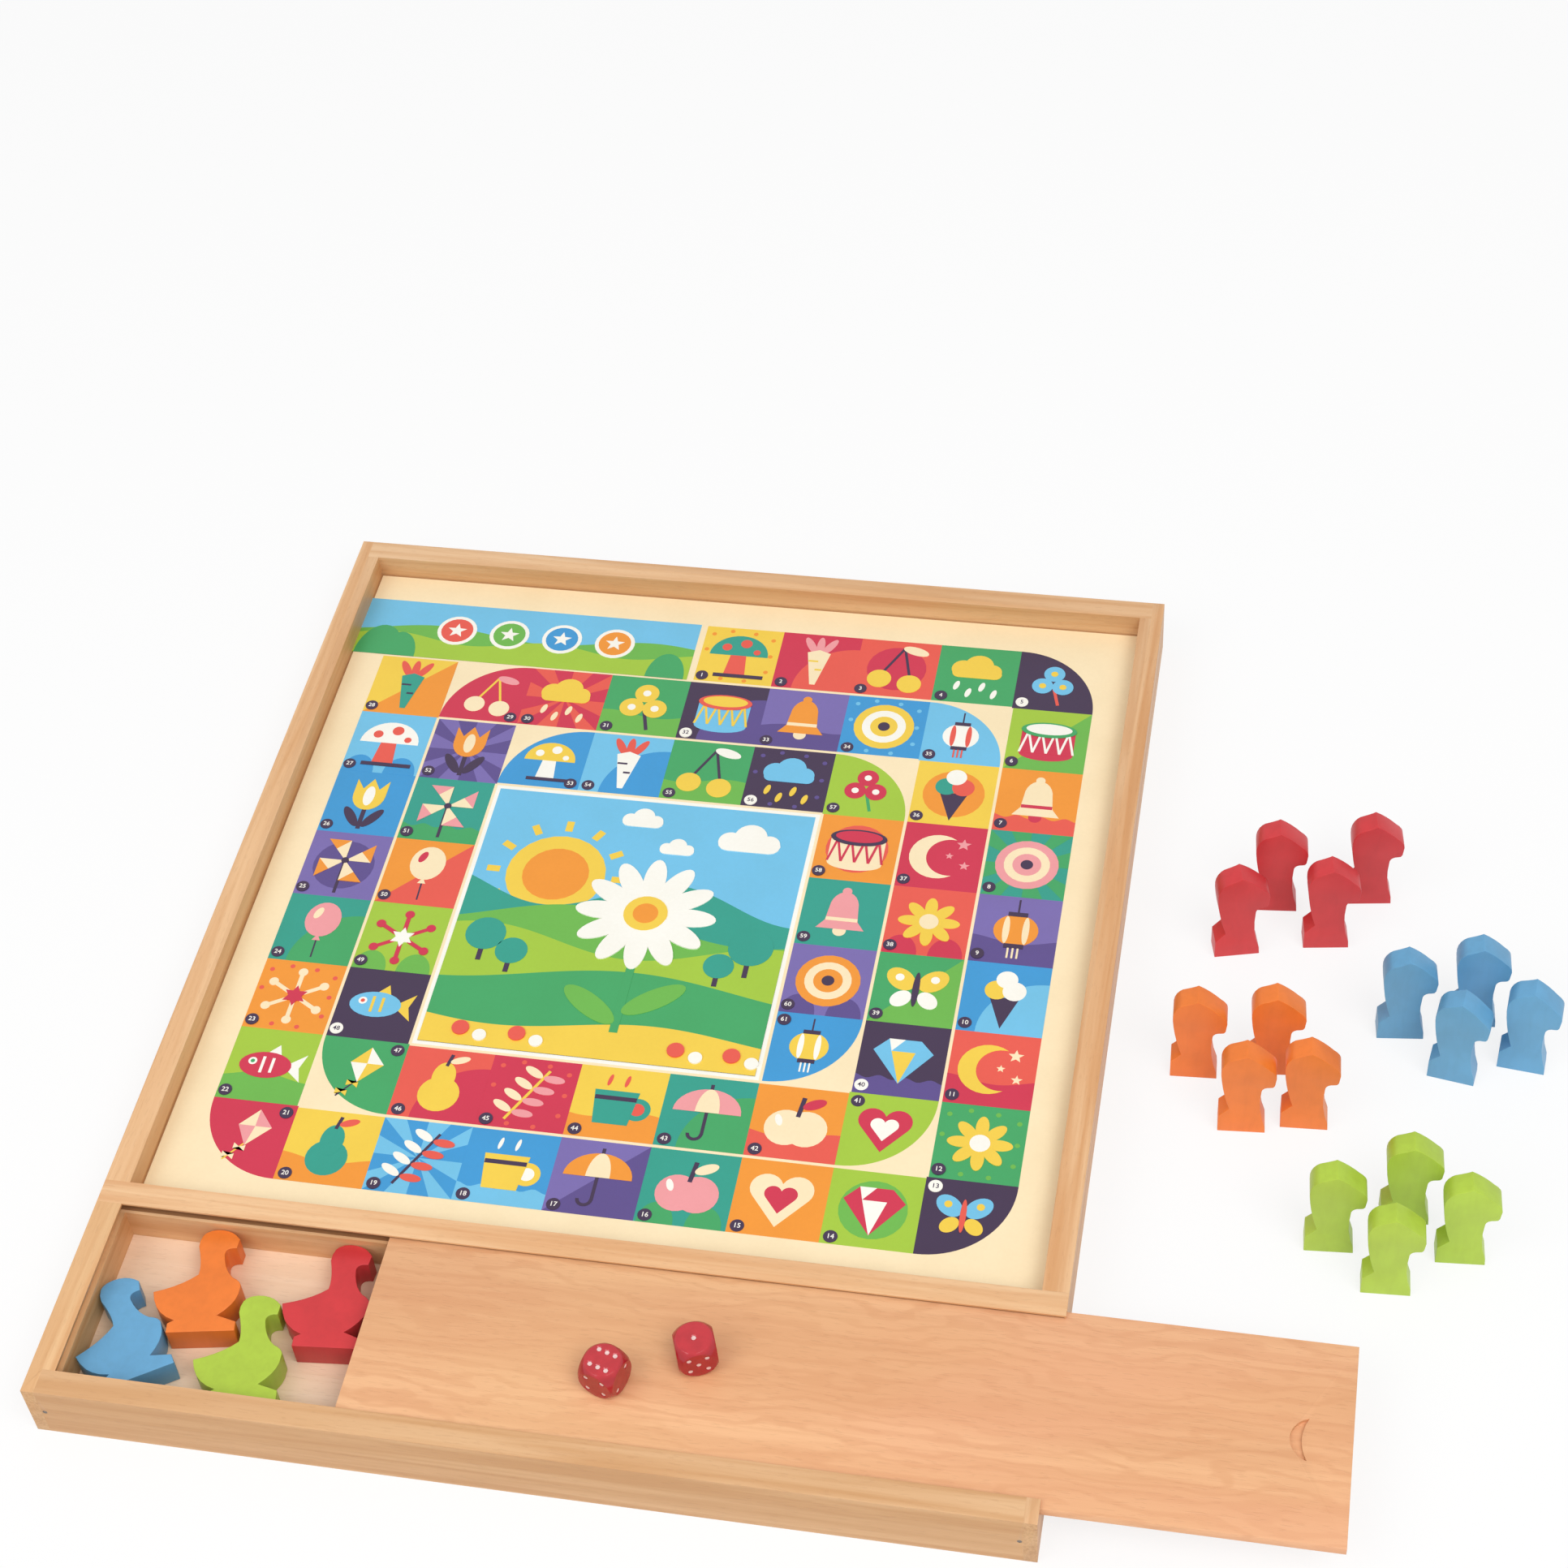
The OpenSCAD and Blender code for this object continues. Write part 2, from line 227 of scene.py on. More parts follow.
def wood(name, light, dark, axis, shift=0.0, streak=0.45, figure=0.0,
         underside=None, side_shade=None, painted_shade_boxes=()):
    """Varnished wood with grain along the axis: streaks, fibres, flecks and darker end grain.

    A tone can colour the underside below a height, another darkens the sides as painted shade, and
    the boxes get painted shade. The figure is how strongly a veneer's broad waves show.
    """
    s = Shading(name, WOOD_ROUGHNESS)
    s.place = s.vectors("ADD", s.place, [shift * part for part in SHIFT_WAY])[0]

    def grain(lengthwise, crosswise, detail, distortion=0.0):
        return s.noise(s.stretched(along(axis, lengthwise, crosswise)), 1.0, detail, distortion)

    broad = s.spread(grain(3, 42, 3, 0.5), 0.32, 0.68)
    streaks = s.spread(grain(9, 240, 3, 0.6), 0.35, 0.7)
    fibres = grain(22, 800, 3, 0.5)
    flecks = s.spread(grain(260, 1900, 1), 0.58, 0.72)
    colour = s.mix(s.maths("MULTIPLY", broad, 0.55), linear(light), linear(dark))
    colour = s.mix(s.maths("MULTIPLY", streaks, streak), colour, linear(dark))
    colour = s.mix(s.spread(fibres, 0.45, 0.75, 0.25), colour, linear(dark))
    if figure:
        inputs = {"Vector": s.stretched(along(axis, 3.6, 13.0)), "Scale": 5.0, "Distortion": 18.0,
                  "Detail": 3.0, "Detail Scale": 1.3}
        across = "Y" if axis == 0 else "X"
        rings = s.node("ShaderNodeTexWave", inputs, wave_type="BANDS", bands_direction=across)
        colour = s.mix(s.spread(rings.outputs["Fac"], 0.45, 1.0, figure), colour, linear(dark))
        patches = grain(7, 22, 2)
        for edge, tone in ((0.7, "#EDAA86"), (0.3, "#EDC08A")):
            colour = s.mix(s.spread(patches, 0.5, edge, 0.3), colour, linear(tone))
    colour = s.mix(s.maths("MULTIPLY", flecks, 0.1), colour, linear("#9A6238"))
    if underside:
        tone, height = underside
        below = s.maths("LESS_THAN", s.axes(s.place)["Z"], height + shift * SHIFT_WAY[2])
        lower = s.mix(s.maths("MULTIPLY", streaks, 0.5), linear(tone), linear("#A9603C"))
        colour = s.mix(below, colour, lower)
    speckle = s.spread(s.noise(s.place, 1500, 2), 0.35, 0.7)
    end_grain = s.mix(speckle, linear("#DDB284"), linear("#BC8E5E"))
    colour = s.mix(s.maths("MULTIPLY", s.facing(along(axis, 1, 0)), 0.5), colour, end_grain)
    # painted shade: the sides darker than the tops
    if side_shade:
        colour = s.mix(s.facing(UP), s.tinted(colour, side_shade), colour)
    # painted shade in the boxes, where a groove's shadow falls
    for box in painted_shade_boxes:
        colour = s.mix(s.within(*box), colour, s.tinted(colour, GROOVE_SHADE))
    s.bump(s.maths("ADD", fibres, flecks), 0.04 * MM)
    return s.finish(colour)


def stained(name, face, edge, direction):
    """Stained and varnished wood: even sawn faces, edges in their own tone (painted shade where it is
    darker), faint grain and mottling.
    """
    s = Shading(name, STAIN_ROUGHNESS)
    grain = s.noise(s.stretched((420, 420, 90)), 1.0, 3, 0.5)
    cloud = s.noise(s.place, 110, 3)
    # the edges take the edge tone: painted shade where it is darker than the face
    colour = s.mix(s.facing(direction), linear(edge), linear(face))
    colour = s.mottled(colour, grain, 0.35, 0.75, (0.95, 0.94, 0.94, 1))
    colour = s.mottled(colour, cloud, 0.3, 0.7, (0.93, 0.92, 0.92, 1))
    s.bump(grain, 0.02 * MM)
    return s.finish(colour)


def ink(name, code):
    """Printed paper under a satin varnish."""
    s = Shading(name, PAPER_ROUGHNESS)
    fibre = s.noise(s.place, 900, 3)
    cloud = s.noise(s.place, 60, 2)
    colour = s.mottled(linear(code), fibre, 0.3, 0.7, (0.985, 0.98, 0.975, 1))
    colour = s.mottled(colour, cloud, 0.3, 0.7, (0.97, 0.965, 0.95, 1))
    s.bump(fibre, 0.02 * MM, 0.3)
    return s.finish(colour)


def lacquer(name, code, roughness, side_shade=None):
    """Thick, slightly uneven lacquer, with painted shade that darkens its sides."""
    s = Shading(name, roughness)
    cloud = s.noise(s.place, 320, 2)
    s.bump(cloud, 0.05 * MM, 0.3)
    colour = s.mottled(linear(code), cloud, 0.3, 0.7, (0.88, 0.86, 0.86, 1))
    # painted shade: the sides darker than the top
    if side_shade:
        colour = s.mix(s.facing(UP), s.tinted(colour, side_shade), colour)
    return s.finish(colour)


def metal(name, code):
    """Dull steel of the brads' heads, with rust spots."""
    s = Shading(name, STEEL_ROUGHNESS)
    s.shader.inputs["Metallic"].default_value = 0.8
    rust = s.spread(s.noise(s.place, 2400, 3), 0.5, 0.65)
    return s.finish(s.mix(rust, linear(code), linear("#5A4433")))


def plain_floor():
    """A white floor on which only a faint shadow stays."""
    s = Shading("floor", FLOOR_ROUGHNESS)
    cloud = s.noise(s.place, 3, 2)
    material = s.finish(s.mix(cloud, (0.93, 0.93, 0.93, 1), (0.95, 0.95, 0.95, 1)))
    white = s.node("ShaderNodeEmission").outputs[0]
    share = s.maths("MULTIPLY", s.seen_directly(), FLOOR_WHITE)
    mix = s.node("ShaderNodeMixShader", (share, s.shader.outputs[0], white))
    s.link(mix.outputs[0], s.tree.nodes["Material Output"].inputs["Surface"])
    return material


def dress(name, material):
    mesh = nodes[name].data
    mesh.materials.clear()
    mesh.materials.append(material)


# -------- edges of the CAD pieces

SMOOTH_BELOW = math.radians(32)
ROUNDED_ABOVE = math.radians(38)
DIE_ROUNDED_ABOVE = math.radians(25)
LONG_EDGE = 30 * MM
ON_FACE = 0.1 * MM  # how far from an outer face an edge still counts as lying on it
SLIGHT = 0.2  # the share of the full rounding that joints and grooves get
WELD = 0.005 * MM
DIE_RIM = 7.3 * MM  # beyond this distance from its middle a die has only its rounded corners


class Geometry(Nodes):
    """A modifier's node group under construction."""

    def __init__(self, name):
        super().__init__(bpy.data.node_groups.new(name, "GeometryNodeTree"))
        for way in ("INPUT", "OUTPUT"):
            self.tree.interface.new_socket("Geometry", in_out=way, socket_type="NodeSocketGeometry")
        self.start = self.node("NodeGroupInput").outputs[0]

    def field(self, kind):
        return self.node(kind).outputs[0]

    def finish(self, kind, inputs, **settings):
        """Ends the group with a node that works on edges."""
        last = self.node(kind, inputs, domain="EDGE", **settings)
        self.node("NodeGroupOutput", (last.outputs[0],))
        return self.tree

    def weigh(self, weight):
        """Ends the group by storing how strongly each edge is rounded."""
        inputs = {"Geometry": self.start, "Name": "bevel_weight_edge", "Value": weight}
        return self.finish("GeometryNodeStoreNamedAttribute", inputs, data_type="FLOAT")


def smooth_group():
    """Smooth faces, with the sharper edges kept sharp."""
    g = Geometry("smooth_by_angle")
    smooth = g.node("GeometryNodeSetShadeSmooth", {"Geometry": g.start})
    over = g.maths("GREATER_THAN", g.field("GeometryNodeInputMeshEdgeAngle"), SMOOTH_BELOW)
    inputs = {"Geometry": smooth.outputs[0], "Selection": over, "Shade Smooth": False}
    return g.finish("GeometryNodeSetShadeSmooth", inputs)


def rail_edge_group():
    """Gives the frame's long outer edges a full rounding, and the joints and grooves a slight one."""
    low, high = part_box("left_rail")
    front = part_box("front_rail")[0].y
    g = Geometry("rail_edges")

    def outer(value, middle, half):
        """1 on the two outer faces that lie half away from the middle, 0 between them."""
        away = g.maths("ABSOLUTE", g.maths("SUBTRACT", value, middle))
        return g.maths("GREATER_THAN", away, half - ON_FACE)

    ends = g.node("GeometryNodeInputMeshEdgeVertices").outputs
    length = g.vectors("DISTANCE", ends["Position 1"], ends["Position 2"])["Value"]
    x, y, z = g.axes(g.field("GeometryNodeInputPosition"))
    half_h = (high.z - low.z) / 2
    long_edge = g.maths("GREATER_THAN", length, LONG_EDGE)
    outer_long = g.maths("MULTIPLY", long_edge, outer(z, half_h, half_h))
    outer_y = outer(y, (front + high.y) / 2, (high.y - front) / 2)
    corner = g.maths("MULTIPLY", outer(x, 0.0, -low.x), outer_y)
    return g.weigh(g.maths("MAXIMUM", g.maths("MAXIMUM", outer_long, corner), SLIGHT))


def die_edge_group(name):
    """Gives a rounding to the rims of a die's flat faces, and none to its dimples."""
    low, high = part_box(name)
    g = Geometry(name + "_edges")
    away = g.vectors("DISTANCE", g.field("GeometryNodeInputPosition"), (low + high) / 2)["Value"]
    over = g.maths("GREATER_THAN", g.field("GeometryNodeInputMeshEdgeAngle"), DIE_ROUNDED_ABOVE)
    return g.weigh(g.maths("MULTIPLY", g.maths("GREATER_THAN", away, DIE_RIM), over))


SMOOTH = smooth_group()
RAIL_EDGES = rail_edge_group()


def add_nodes(obj, group):
    obj.modifiers.new(group.name, "NODES").node_group = group


def round_edges(name, width, segments=3, weights=None):
    """Welds the piece's mesh, rounds its edges and shades it smooth, with modifiers only."""
    obj = nodes[name]
    obj.modifiers.new("weld", "WELD").merge_threshold = WELD
    if weights:
        add_nodes(obj, weights)
    bevel = obj.modifiers.new("bevel", "BEVEL")
    bevel.width = width
    bevel.segments = segments
    bevel.limit_method = "WEIGHT" if weights else "ANGLE"
    bevel.angle_limit = ROUNDED_ABOVE
    bevel.use_clamp_overlap = True
    add_nodes(obj, SMOOTH)


# -------- printing

INKS = {
    "cream": "#FFEBC2", "white": "#FFFDF4", "sky": "#74C5EC", "blue": "#3C9BD8", "teal": "#2C9F8C",
    "green": "#3FA663", "lime": "#A6CB3C", "yellow": "#F7D24A", "orange": "#F59A32", "coral": "#EB5B4C",
    "crimson": "#D2304E", "violet": "#7A6BB0", "aubergine": "#3A2647", "rose": "#F3A0A4",
    "leaf": "#6DB84B", "plum": "#5B4A8C",
}
FILM = 0.025 * MM
DIGIT_SIZE = 1.4  # the size of the typeface for digits of height 1
DIGIT_BOLDNESS = 0.012
DIGIT_CURVE_STEPS = 3
DIGIT_WELD = 0.001 * MM


def polar(radius, degrees, x=0.0, y=0.0):
    a = math.radians(degrees)
    return x + radius * math.cos(a), y + radius * math.sin(a)


def block(left, bottom, right, top):
    return [(left, bottom), (right, bottom), (right, top), (left, top)]


def ring(count, radius_x, radius_y=None, x=0.0, y=0.0, turn=0.0, begin=0.0, sweep=360.0):
    """Points on an oval or on a part of it."""
    radius_y = radius_x if radius_y is None else radius_y
    closed = sweep >= 360
    c, s = polar(1, turn)
    points = []
    for i in range(count if closed else count + 1):
        u, v = polar(1, begin + sweep * i / count)
        u, v = radius_x * u, radius_y * v
        points.append((x + u * c - v * s, y + u * s + v * c))
    return points


def pill(count, x, y, half, radius):
    """A level bar's outline with round ends, whose middles lie half to the right and left."""
    right = ring(count, radius, radius, x + half, y, 0, -90, 180)
    return right + ring(count, radius, radius, x - half, y, 0, 90, 180)


class Print:
    """A flat print made of thin closed films of ink, each a little higher than what it covers."""

    def __init__(self, name, face, up):
        self.name, self.face, self.up = name, face, up
        self.verts, self.faces, self.slots, self.inks = [], [], [], {}

    def add(self, colour, verts, faces):
        first = len(self.verts)
        self.verts += verts
        self.faces += [[first + i for i in face] for face in faces]
        self.slots += [self.inks.setdefault(colour, len(self.inks))] * len(faces)

    def film(self, colour, outline, level):
        """One film of ink with the given outline, in metres, lying level films above the paper."""
        top = self.face + self.up * FILM * level
        area = sum(a[0] * b[1] - b[0] * a[1] for a, b in zip(outline, outline[1:] + outline[:1]))
        if (area > 0) != (self.up > 0):
            outline = outline[::-1]
        count = len(outline)
        faces = [list(range(count)), list(range(2 * count - 1, count - 1, -1))]
        faces += [[(i + 1) % count, i, count + i, count + (i + 1) % count] for i in range(count)]
        self.add(colour, [(x, y, z) for z in (top, self.face) for x, y in outline], faces)

    def number(self, colour, text, x, y, height, level, turn=0.0):
        """A number in a plain typeface, centred on the point."""
        data = bpy.data.curves.new("number", "FONT")
        data.body = str(text)
        data.size = height * DIGIT_SIZE
        data.resolution_u = DIGIT_CURVE_STEPS
        data.align_x = data.align_y = "CENTER"
        data.offset = DIGIT_BOLDNESS * data.size
        data.extrude = FILM * level / 2
        obj = add_object("number", data)
        mesh = bpy.data.meshes.new_from_object(obj.evaluated_get(bpy.context.evaluated_depsgraph_get()))
        bpy.data.objects.remove(obj)
        cut = bmesh.new()
        cut.from_mesh(mesh)
        bmesh.ops.remove_doubles(cut, verts=cut.verts, dist=DIGIT_WELD)
        flip = Matrix.Diagonal((self.up, 1, self.up, 1))
        spot = Matrix.Translation((x, y, self.face + self.up * FILM * level / 2))
        cut.transform(spot @ rotation(turn, "Z") @ flip)
        faces = [[v.index for v in f.verts] for f in cut.faces]
        self.add(colour, [v.co.to_tuple() for v in cut.verts], faces)
        cut.free()

    def make(self, body):
        mesh = bpy.data.meshes.new(self.name)
        mesh.from_pydata(self.verts, [], self.faces)
        for colour in self.inks:
            mesh.materials.append(INK_MATERIALS[colour])
        mesh.polygons.foreach_set("material_index", self.slots)
        mesh.validate()
        obj = add_object(self.name, mesh)
        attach(obj, body)


class Pen:
    """Draws in one square of a print. Its square runs from -1 to 1 both ways."""

    def __init__(self, paper, x, y, half, level, turn=0.0):
        self.paper, self.x, self.y, self.half, self.level = paper, x, y, half, level
        self.c, self.s = polar(1, turn)

    def spot(self, u, v):
        """The point of the print, in metres, that lies at u, v in the pen's square."""
        u = u * self.paper.up
        x, y = u * self.c - v * self.s, u * self.s + v * self.c
        return self.x + self.half * x, self.y + self.half * y

    def shape(self, colour, points, rise=1):
        """One film over what was drawn before, or on the same level with rise 0."""
        self.level += rise
        self.paper.film(colour, [self.spot(u, v) for u, v in points], self.level)

    def shapes(self, colour, outlines):
        """Films that don't overlap, all on one level."""
        for i, outline in enumerate(outlines):
            self.shape(colour, outline, rise=0 if i else 1)

    def disc(self, colour, x, y, r):
        self.shape(colour, ring(24, r, r, x, y))

    def oval(self, colour, x, y, rx, ry, turn=0.0):
        self.shape(colour, ring(24, rx, ry, x, y, turn))

    def half_disc(self, colour, x, y, rx, ry):
        self.shape(colour, ring(16, rx, ry, x, y, 0, 0, 180))

    def bar(self, colour, x0, y0, x1, y1, width, rise=1):
        """A straight stroke between two points."""
        dx, dy = x1 - x0, y1 - y0
        size = math.hypot(dx, dy)
        nx, ny = -dy / size * width / 2, dx / size * width / 2
        corners = [(x0 + nx, y0 + ny), (x0 - nx, y0 - ny), (x1 - nx, y1 - ny), (x1 + nx, y1 + ny)]
        self.shape(colour, corners, rise)

    def star(self, colour, x, y, points, outer, inner, turn=90.0):
        corners = []
        for i in range(2 * points):
            corners.append(polar(inner if i % 2 else outer, turn + 180 * i / points, x, y))
        self.shape(colour, corners)


# Each motif draws in a pen's square with a main, a second and a third ink.

def tulip(p, a, b, c):
    p.bar(c, 0, -0.75, 0, 0.1, 0.1)
    p.oval(c, -0.24, -0.42, 0.32, 0.11, 125)
    p.oval(c, 0.24, -0.42, 0.32, 0.11, 55)
    petals = [(0.36, 0.66), (0.18, 0.4), (0, 0.7), (-0.18, 0.4), (-0.36, 0.66)]
    p.shape(a, ring(12, 0.36, 0.42, 0, 0.22, 0, 180, 180) + petals)
    p.oval(b, 0, 0.2, 0.12, 0.28)


def mushroom(p, a, b, c):
    p.shape(b, [(-0.17, 0.05), (0.17, 0.05), (0.24, -0.6), (-0.24, -0.6)])
    p.half_disc(a, 0, 0, 0.66, 0.62)
    p.disc(b, -0.3, 0.24, 0.11)
    p.disc(b, 0.12, 0.38, 0.13)
    p.disc(b, 0.4, 0.13, 0.08)
    p.bar(c, -0.46, -0.64, 0.66, -0.64, 0.1)


def apple(p, a, b, c):
    p.disc(a, -0.2, -0.12, 0.42)
    p.disc(a, 0.2, -0.12, 0.42)
    p.bar(c, 0, 0.15, 0.06, 0.62, 0.09)
    p.oval(b, 0.28, 0.48, 0.24, 0.11, 25)
    p.oval("white", -0.36, 0.04, 0.07, 0.14, 20)


def cherries(p, a, b, c):
    p.bar(c, -0.32, -0.2, 0.1, 0.65, 0.06)
    p.bar(c, 0.34, -0.3, 0.1, 0.65, 0.06)
    p.disc(a, -0.34, -0.34, 0.27)
    p.disc(a, 0.34, -0.44, 0.27)
    p.oval(b, 0.36, 0.58, 0.3, 0.12, -15)


def carrot(p, a, b, c):
    for tilt in (60, 90, 120):
        p.oval(b, polar(0.42, tilt)[0], 0.5, 0.28, 0.09, tilt)
    p.shape(a, [(-0.26, 0.28), (0, 0.38), (0.26, 0.28), (0.06, -0.7), (-0.06, -0.7)])
    p.bar(c, -0.2, 0.02, 0.02, 0.02, 0.05)
    p.bar(c, -0.02, -0.24, 0.13, -0.24, 0.05)


def moon(p, a, b, c):
    reach, hollow, step = 0.6, 0.5, 0.26
    x = (reach ** 2 - hollow ** 2 + step ** 2) / (2 * step)
    outer, inner = (math.degrees(math.acos(v)) for v in (x / reach, (x - step) / hollow))
    horn = ring(20, reach, reach, -0.08, 0, 0, outer, 360 - 2 * outer)
    p.shape(a, horn + ring(20, hollow, hollow, step - 0.08, 0, 0, 360 - inner, 2 * inner - 360)[1:-1])
    p.star(b, 0.42, 0.38, 5, 0.16, 0.07)
    p.star(b, 0.5, -0.2, 5, 0.12, 0.05)
    p.star(b, 0.16, 0.04, 5, 0.09, 0.04)


def cloud(p, a, b, c):
    p.disc(a, -0.32, 0.18, 0.26)
    p.disc(a, 0.32, 0.14, 0.22)
    p.disc(a, 0.02, 0.3, 0.32)
    p.shape(a, pill(8, 0, 0.06, 0.4, 0.15))
    for x, y in ((-0.4, -0.35), (-0.12, -0.55), (0.16, -0.35), (0.44, -0.55)):
        p.oval(b, x, y, 0.14, 0.06, 75)


def umbrella(p, a, b, c):
    p.bar(c, 0, -0.52, 0, 0.7, 0.07)
    hook = ring(10, 0.17, 0.17, -0.14, -0.5, 0, 180, 180)
    p.shape(c, hook + ring(10, 0.1, 0.1, -0.14, -0.5, 0, 360, -180))
    p.half_disc(a, 0, 0.02, 0.68, 0.56)
    p.half_disc(b, 0, 0.02, 0.24, 0.56)


def kite(p, a, b, c):
    p.bar(c, 0.02, -0.2, -0.4, -0.74, 0.04)
    p.shape(a, [(0.1, 0.72), (0.5, 0.25), (0.0, -0.3), (-0.3, 0.25)])
    p.shape(b, [(0.1, 0.72), (0.5, 0.25), (0.1, 0.25)])
    p.shape(b, [(0.1, 0.25), (0.0, -0.3), (-0.3, 0.25)])
    for left, right, y in ((-0.24, 0.04, -0.36), (-0.44, -0.16, -0.62)):
        p.shape(a, [(left, y + 0.1), (right, y - 0.1), (right, y + 0.06), (left, y - 0.06)])


def balloon(p, a, b, c):
    p.bar(c, 0.02, -0.75, 0, -0.1, 0.035)
    p.shape(a, [(-0.09, -0.3), (0.09, -0.3), (0, -0.14)])
    p.oval(a, 0, 0.26, 0.38, 0.46)
    p.oval(b, -0.14, 0.42, 0.08, 0.16, -20)


def bell(p, a, b, c):
    p.disc(b, 0, -0.46, 0.14)
    skirt = [(-0.34, -0.2), (-0.5, -0.42), (0.5, -0.42), (0.34, -0.2)]
    p.shape(a, ring(12, 0.3, 0.42, 0, 0.16, 0, 0, 180) + skirt)
    p.disc(a, 0, 0.6, 0.1)
    p.bar(b, -0.33, -0.16, 0.33, -0.16, 0.09)


def drum(p, a, b, c):
    p.oval(a, 0, -0.4, 0.58, 0.2)
    p.shape(a, block(-0.58, -0.4, 0.58, 0.3))
    for i in range(4):
        x = -0.58 + 0.29 * i
        p.bar(b, x, -0.38, x + 0.145, 0.24, 0.05)
        p.bar(b, x + 0.145, 0.24, x + 0.29, -0.38, 0.05)
    p.oval(c, 0, 0.3, 0.6, 0.22)
    p.oval(b, 0, 0.32, 0.5, 0.16)


def cup(p, a, b, c):
    p.disc(a, 0.42, -0.1, 0.27)
    p.disc(b, 0.42, -0.1, 0.15)
    p.shape(a, [(-0.5, 0.3), (0.4, 0.3), (0.3, -0.5), (-0.4, -0.5)])
    p.bar(c, -0.47, 0.12, 0.37, 0.12, 0.1)
    for x in (-0.25, 0.1):
        p.oval(b, x, 0.55, 0.14, 0.04, 80)


def fish(p, a, b, c):
    p.shape(b, [(0.3, 0), (0.72, 0.34), (0.62, 0), (0.72, -0.34)])
    p.shape(b, [(-0.2, 0.2), (0.1, 0.52), (0.22, 0.16)])
    p.oval(a, -0.08, 0, 0.54, 0.32)
    p.disc("white", -0.36, 0.07, 0.09)
    p.disc(c, -0.36, 0.07, 0.045)
    p.bar(b, -0.14, 0.2, -0.14, -0.2, 0.06)
    p.bar(b, 0.06, 0.18, 0.06, -0.18, 0.06)


def snowflake(p, a, b, c):
    for turn in range(0, 180, 60):
        x, y = polar(0.62, turn + 30)
        p.bar(a, -x, -y, x, y, 0.09)
        p.disc(a, x, y, 0.1)
        p.disc(a, -x, -y, 0.1)
    p.star(b, 0, 0, 6, 0.26, 0.14)


def heart(p, a, b, c):
    def lobes(size):
        right = ring(12, 0.28 * size, 0.28 * size, 0.26 * size, 0.2 * size, 0, -40, 197)
        return [(0, -0.55 * size)] + right + [(-x, y) for x, y in right[::-1]]
    p.shape(a, lobes(1.15))
    p.shape(b, lobes(0.6))


def gem(p, a, b, c):
    p.shape(a, [(-0.6, 0.2), (-0.32, 0.5), (0.32, 0.5), (0.6, 0.2), (0, -0.58)])
    p.shape(b, [(-0.24, 0.2), (0.24, 0.2), (0, -0.58)])
    p.shape("white", [(-0.32, 0.5), (0, 0.5), (-0.24, 0.2)])


def daisy(p, a, b, c):
    for turn in range(0, 360, 45):
        p.oval(a, *polar(0.38, turn), 0.26, 0.13, turn)
    p.disc(b, 0, 0, 0.2)


def target(p, a, b, c):
    for colour, r in ((a, 0.66), (b, 0.48), (a, 0.3), (c, 0.13)):
        p.disc(colour, 0, 0, r)


def pinwheel(p, a, b, c):
    p.bar(c, 0, -0.78, 0, 0.1, 0.07)
    for turn in range(0, 360, 90):
        co, si = polar(1, turn)
        for colour, tip in ((a, (0.56, 0.5)), (b, (0.3, 0.27))):
            sail = [(0, 0), (0.56, 0), tip]
            p.shape(colour, [(x * co - y * si, 0.12 + x * si + y * co) for x, y in sail])
    p.disc(c, 0, 0.12, 0.08)


def butterfly(p, a, b, c):
    for side in (-1, 1):
        p.oval(a, 0.33 * side, 0.24, 0.34, 0.24, 40 * side)
        p.oval(b, 0.27 * side, -0.26, 0.24, 0.18, -45 * side)
        p.disc(b, 0.36 * side, 0.28, 0.09)
    p.oval(c, 0, 0, 0.07, 0.44)


def sprig(p, a, b, c):
    p.bar(c, -0.35, -0.65, 0.3, 0.6, 0.06)
    for i in range(4):
        x, y = -0.26 + 0.15 * i, -0.46 + 0.29 * i
        p.oval(a, x - 0.2, y + 0.12, 0.22, 0.09, 150)
        p.oval(b, x + 0.24, y - 0.02, 0.22, 0.09, -5)


def ice(p, a, b, c):
    p.shape(c, [(-0.3, 0.02), (0.3, 0.02), (0, -0.76)])
    p.disc(a, -0.18, 0.2, 0.24)
    p.disc(b, 0.18, 0.2, 0.24)
    p.disc("white", 0, 0.48, 0.22)


def lantern(p, a, b, c):
    p.bar(c, 0, 0.4, 0, 0.82, 0.04)
    p.oval(a, 0, 0, 0.46, 0.42)
    for x in (-0.2, 0.2):
        p.oval(b, x, 0, 0.07, 0.36)
    p.bar(c, -0.2, 0.42, 0.2, 0.42, 0.11)
    p.bar(c, -0.2, -0.42, 0.2, -0.42, 0.11)
    for x in (-0.1, 0, 0.1):
        p.bar(b, x, -0.48, x, -0.74, 0.04)


def pear(p, a, b, c):
    p.disc(a, 0, -0.24, 0.42)
    p.oval(a, 0, 0.18, 0.24, 0.36)
    p.bar(c, 0, 0.45, 0.06, 0.74, 0.07)
    p.oval(b, 0.24, 0.62, 0.2, 0.08, 20)


def clover(p, a, b, c):
    p.bar(c, 0, 0.0, 0.2, -0.72, 0.08)
    for colour, r in ((a, 0.27), (b, 0.09)):
        for turn in (90, 210, 330):
            p.disc(colour, *polar(0.3, turn, 0, 0.08), r)


MOTIFS = (tulip, kite, apple, moon, drum, mushroom, fish, umbrella, daisy, bell, carrot, snowflake,
          cup, butterfly, target, cherries, balloon, sprig, gem, lantern, cloud, pinwheel, pear, heart,
          ice, clover)
